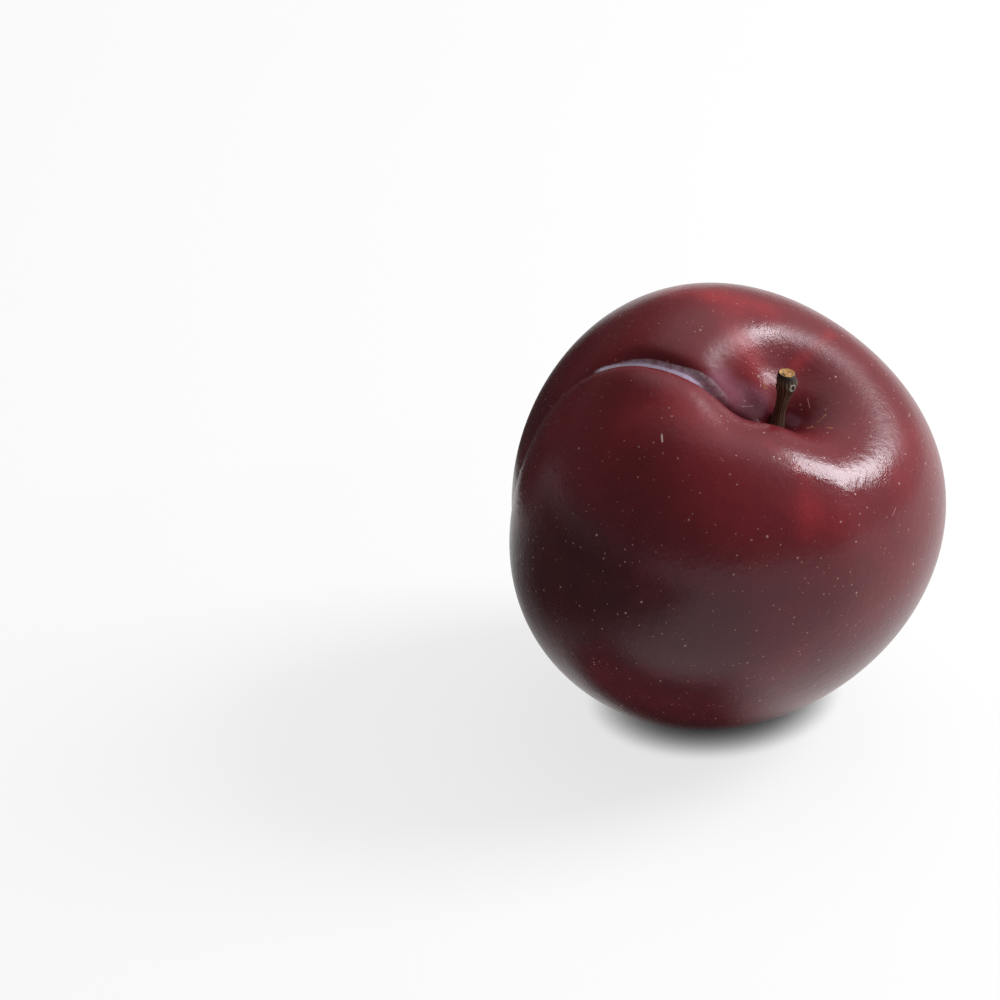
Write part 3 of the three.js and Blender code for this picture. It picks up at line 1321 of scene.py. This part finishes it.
@dataclass
class Studio:
    """The pale table, the soft lights, the surroundings and the camera.

    Attributes:
        lie: How the fruit that they are set round lies.
        table_size: The table's width and depth, in metres.
        table_grey: How much light it scatters.
        table_glow: How brightly it is lit from within.
        table_contact: How near something must be to dim its glow, in metres, which sets the reach of the
            painted contact shadow.
        room_grey: How bright the surroundings are.
        camera_height: The camera's angle over the table.
        camera_distance_mm: How far it stands from the fruit's centre, in millimetres.
        pixels_per_mm: How large a millimetre at the fruit's centre is in the picture.
        frame_px: The picture's width and height.
        fruit_px: Where the fruit's centre falls in it, from the top left.
        sensor_mm: The camera's sensor width, in millimetres.
        lights: The soft lights.
        glows: The brighter parts of the surroundings.
        flags: The dark cards.
    """

    lie: Lie = field(default_factory=Lie)
    table_size: float = 6.0
    table_grey: float = 0.22
    table_glow: float = 0.76
    table_contact: float = 5 * MM
    room_grey: float = 0.1
    camera_height: float = 30 * DEG
    camera_distance_mm: float = 750.0
    pixels_per_mm: float = 6.41
    frame_px: float = 1000.0
    fruit_px: tuple[float, float] = (722.3, 508.2)
    sensor_mm: float = 36.0
    lights: tuple[SoftLight, ...] = (
        SoftLight("key_window", 74 * DEG, 40 * DEG, 0.8, (0.34, 0.32), 18.0),
    )
    glows: tuple[Glow, ...] = (
        Glow(65 * DEG, 25 * DEG, 0.2, 0.95, 0.45),
        Glow(0.0, 70 * DEG, 0.76, 0.98, 0.75),
    )
    flags: tuple[Flag, ...] = (
        Flag(
            "dark_card_left",
            ((-0.008, -0.17, 0.001), (-0.026, 0.03, 0.001), (-0.145, 0.09, 0.045), (-0.13, -0.17, 0.045)),
        ),
        # A dark sheet on the table before the plum, seen only in reflections: painted shadow of the shaded
        # table there, as the skin reflects it.
        Flag(
            "shadow_card_front",
            (
                (-0.06, -0.044, 0.0006),
                (0.012, -0.042, 0.0006),
                (0.018, -0.009, 0.0006),
                (-0.05, -0.009, 0.0006),
            ),
        ),
        Flag(
            "dark_card_behind",
            ((-0.15, 0.05, -0.02), (-0.018, 0.09, -0.02), (-0.018, 0.09, 0.085), (-0.15, 0.05, 0.085)),
        ),
    )

    def build(self) -> None:
        """Builds everything round the plum."""
        self._table()
        self._room()
        target = Vector(self.lie.settled_centre) * MM
        for light in self.lights:
            light.build(target)
        for flag in self.flags:
            flag.build()
        self._camera()

    def _table(self) -> None:
        """Builds the white table top, a glowing panel whose glow dims where something all but touches it, a
        painted contact shadow.
        """
        half = self.table_size / 2
        mesh = bpy.data.meshes.new("table_top")
        corners = [(-half, -half, 0), (half, -half, 0), (half, half, 0), (-half, half, 0)]
        mesh.from_pydata(corners, [], [(0, 1, 2, 3)])
        top = bpy.data.objects.new("table_top", mesh)
        bpy.context.collection.objects.link(top)
        shader = Shader.material("white_table")
        # The glow is dimmed by ambient occlusion near the plum: a painted contact shadow on the table.
        occlusion = {"Distance": self.table_contact}
        contact_shade = shader.node("ShaderNodeAmbientOcclusion", {"samples": 16}, occlusion, "AO")
        surface = {
            "Base Color": (self.table_grey,) * 3 + (1.0,),
            "Roughness": 0.7,
            "Specular IOR Level": 0.2,
            "Emission Color": shader.mix(contact_shade.step(0.0, 1.0), (0.0, 0.0, 0.0), (1.0, 1.0, 1.0)),
            "Emission Strength": self.table_glow,
        }
        top.data.materials.append(shader.finish(surface))
        LOG.info("table_top")

    def _room(self) -> None:
        """Makes the surroundings dim, and brighter towards each glow."""
        shader = Shader(bpy.data.worlds.new("studio_room"))
        way = shader.node("ShaderNodeTexCoord", out="Generated")
        level: Value | float = self.room_grey
        for glow in self.glows:
            facing = shader.vector("DOT_PRODUCT", way, tuple(compass_way(glow.compass, glow.height)))
            level = facing.sibling("Value").step(glow.edge, glow.core) * glow.brightness + level
        white = (1.0, 1.0, 1.0, 1.0)
        light = shader.node("ShaderNodeBackground", None, {"Color": white, "Strength": level})
        shader.close("ShaderNodeOutputWorld", light)
        bpy.context.scene.world = shader.owner

    def _camera(self) -> None:
        """Places the camera so that the fruit's centre falls on its place in the frame.

        The camera looks straight away from the viewer and down by its height. It stands back from the
        fruit's centre by its distance, and to the side and up by that place's offset from the middle.
        """
        right = Vector((1, 0, 0))
        up = Vector((0, np.sin(self.camera_height), np.cos(self.camera_height)))
        back = right.cross(up)
        middle = self.frame_px / 2
        aside = (self.fruit_px[0] - middle) / self.pixels_per_mm
        above = (middle - self.fruit_px[1]) / self.pixels_per_mm
        spot = Vector(self.lie.settled_centre) - right * aside - up * above
        spot = spot + back * self.camera_distance_mm
        data = bpy.data.cameras.new("camera")
        data.sensor_width = self.sensor_mm
        data.lens = self.pixels_per_mm * self.camera_distance_mm / self.frame_px * self.sensor_mm
        camera = bpy.data.objects.new("camera", data)
        camera.location = spot * MM
        camera.rotation_euler = (np.pi / 2 - self.camera_height, 0.0, 0.0)
        bpy.context.collection.objects.link(camera)
        bpy.context.scene.camera = camera
        bpy.context.scene.view_settings.view_transform = "Standard"
        LOG.info("camera at %s", tuple(round(c, 4) for c in camera.location))


def main() -> None:
    """Builds the fruit, the stem and the studio."""
    logging.basicConfig(level=logging.INFO, format="%(name)s %(message)s")
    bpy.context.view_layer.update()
    lie, form = Lie(), FruitForm()
    Fruit(form, lie).build()
    Stem(lie, form).build()
    Studio(lie).build()


if __name__ == "__main__":
    main()
